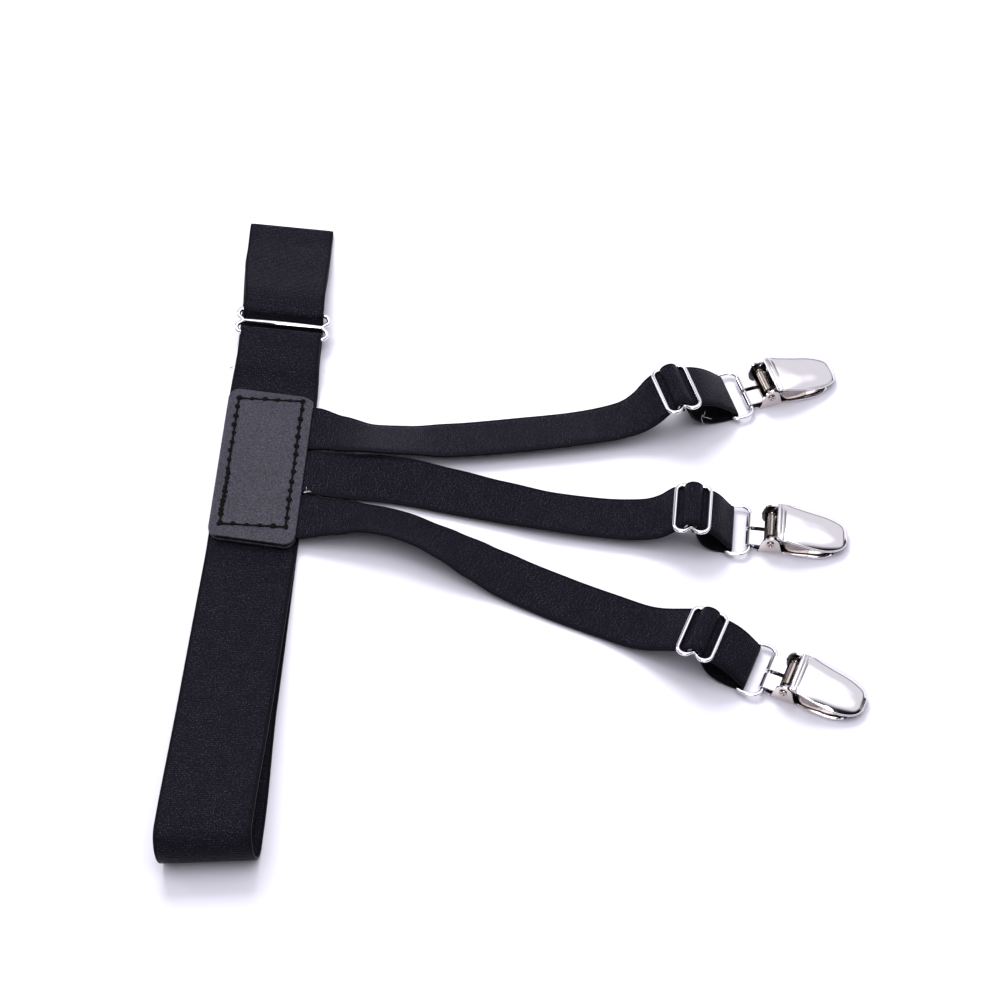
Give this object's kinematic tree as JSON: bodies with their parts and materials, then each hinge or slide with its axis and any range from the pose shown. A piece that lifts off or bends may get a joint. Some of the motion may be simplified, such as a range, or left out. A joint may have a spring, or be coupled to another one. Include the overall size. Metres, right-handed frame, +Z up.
{
  "type": "shirt stay",
  "caption": "Shirt stay with a dark elastic thigh band, a sewn leather patch and elastic straps ending in wire slides, rings and metal clips.",
  "frame": {"origin": "on the floor under the middle of the patch's stitching, on the underside of the leg band's lower layer", "axes": "+X out along the straps towards the clips, +Y along the leg band towards its slide, +Z up off the floor"},
  "size_m": [0.293, 0.3511, 0.0243],
  "materials": {
    "webbing": "woven elastic with a fine crosswise rib and smooth selvages",
    "leather": "fine grain, soft sheen",
    "nickel": "bright polished nickel plate"
  },
  "bodies": {
    "root": {"leg_band": "webbing", "band_slide": "nickel", "patch_lining": "leather", "patch_leather": "leather", "strap_upper": "webbing", "strap_middle": "webbing", "strap_lower": "webbing", "strap_slide_upper": "nickel", "strap_slide_middle": "nickel", "strap_slide_lower": "nickel"},
    "ring_body_upper": {"ring_upper": "nickel"},
    "clip_body_upper": {"clip_base_upper": "nickel", "clip_pin_upper": "nickel"},
    "lever_body_upper": {"clip_jaw_upper": "nickel", "clip_cover_upper": "nickel"},
    "ring_body_middle": {"ring_middle": "nickel"},
    "clip_body_middle": {"clip_base_middle": "nickel", "clip_pin_middle": "nickel"},
    "lever_body_middle": {"clip_jaw_middle": "nickel", "clip_cover_middle": "nickel"},
    "ring_body_lower": {"ring_lower": "nickel"},
    "clip_body_lower": {"clip_base_lower": "nickel", "clip_pin_lower": "nickel"},
    "lever_body_lower": {"clip_jaw_lower": "nickel", "clip_cover_lower": "nickel"}
  },
  "joints": [
    {"name": "ring_swing_upper", "type": "hinge", "parent": "root", "child": "ring_body_upper", "pos_m": [0.20591, 0.05452, 0.00261], "axis": [0.3746, -0.9272, 0], "range_deg": [-35, 35]},
    {"name": "clip_swing_upper", "type": "hinge", "parent": "ring_body_upper", "child": "clip_body_upper", "pos_m": [0.21509, 0.05822, 0.00261], "axis": [0.3746, -0.9272, 0], "range_deg": [-40, 40]},
    {"name": "lever_lift_upper", "type": "hinge", "parent": "clip_body_upper", "child": "lever_body_upper", "pos_m": [0.22362, 0.06167, 0.0067], "axis": [0.3746, -0.9272, 0], "range_deg": [0, 85]},
    {"name": "ring_swing_middle", "type": "hinge", "parent": "root", "child": "ring_body_middle", "pos_m": [0.20889, -0.01902, 0.00261], "axis": [-0.0262, -0.9997, 0], "range_deg": [-35, 35]},
    {"name": "clip_swing_middle", "type": "hinge", "parent": "ring_body_middle", "child": "clip_body_middle", "pos_m": [0.21879, -0.01928, 0.00261], "axis": [-0.0262, -0.9997, 0], "range_deg": [-40, 40]},
    {"name": "lever_lift_middle", "type": "hinge", "parent": "clip_body_middle", "child": "lever_body_middle", "pos_m": [0.22799, -0.01952, 0.0067], "axis": [-0.0262, -0.9997, 0], "range_deg": [0, 85]},
    {"name": "ring_swing_lower", "type": "hinge", "parent": "root", "child": "ring_body_lower", "pos_m": [0.21897, -0.09059, 0.00261], "axis": [-0.309, -0.9511, 0], "range_deg": [-35, 35]},
    {"name": "clip_swing_lower", "type": "hinge", "parent": "ring_body_lower", "child": "clip_body_lower", "pos_m": [0.22839, -0.09365, 0.00261], "axis": [-0.309, -0.9511, 0], "range_deg": [-40, 40]},
    {"name": "lever_lift_lower", "type": "hinge", "parent": "clip_body_lower", "child": "lever_body_lower", "pos_m": [0.23714, -0.09649, 0.0067], "axis": [-0.309, -0.9511, 0], "range_deg": [0, 85]}
  ]
}
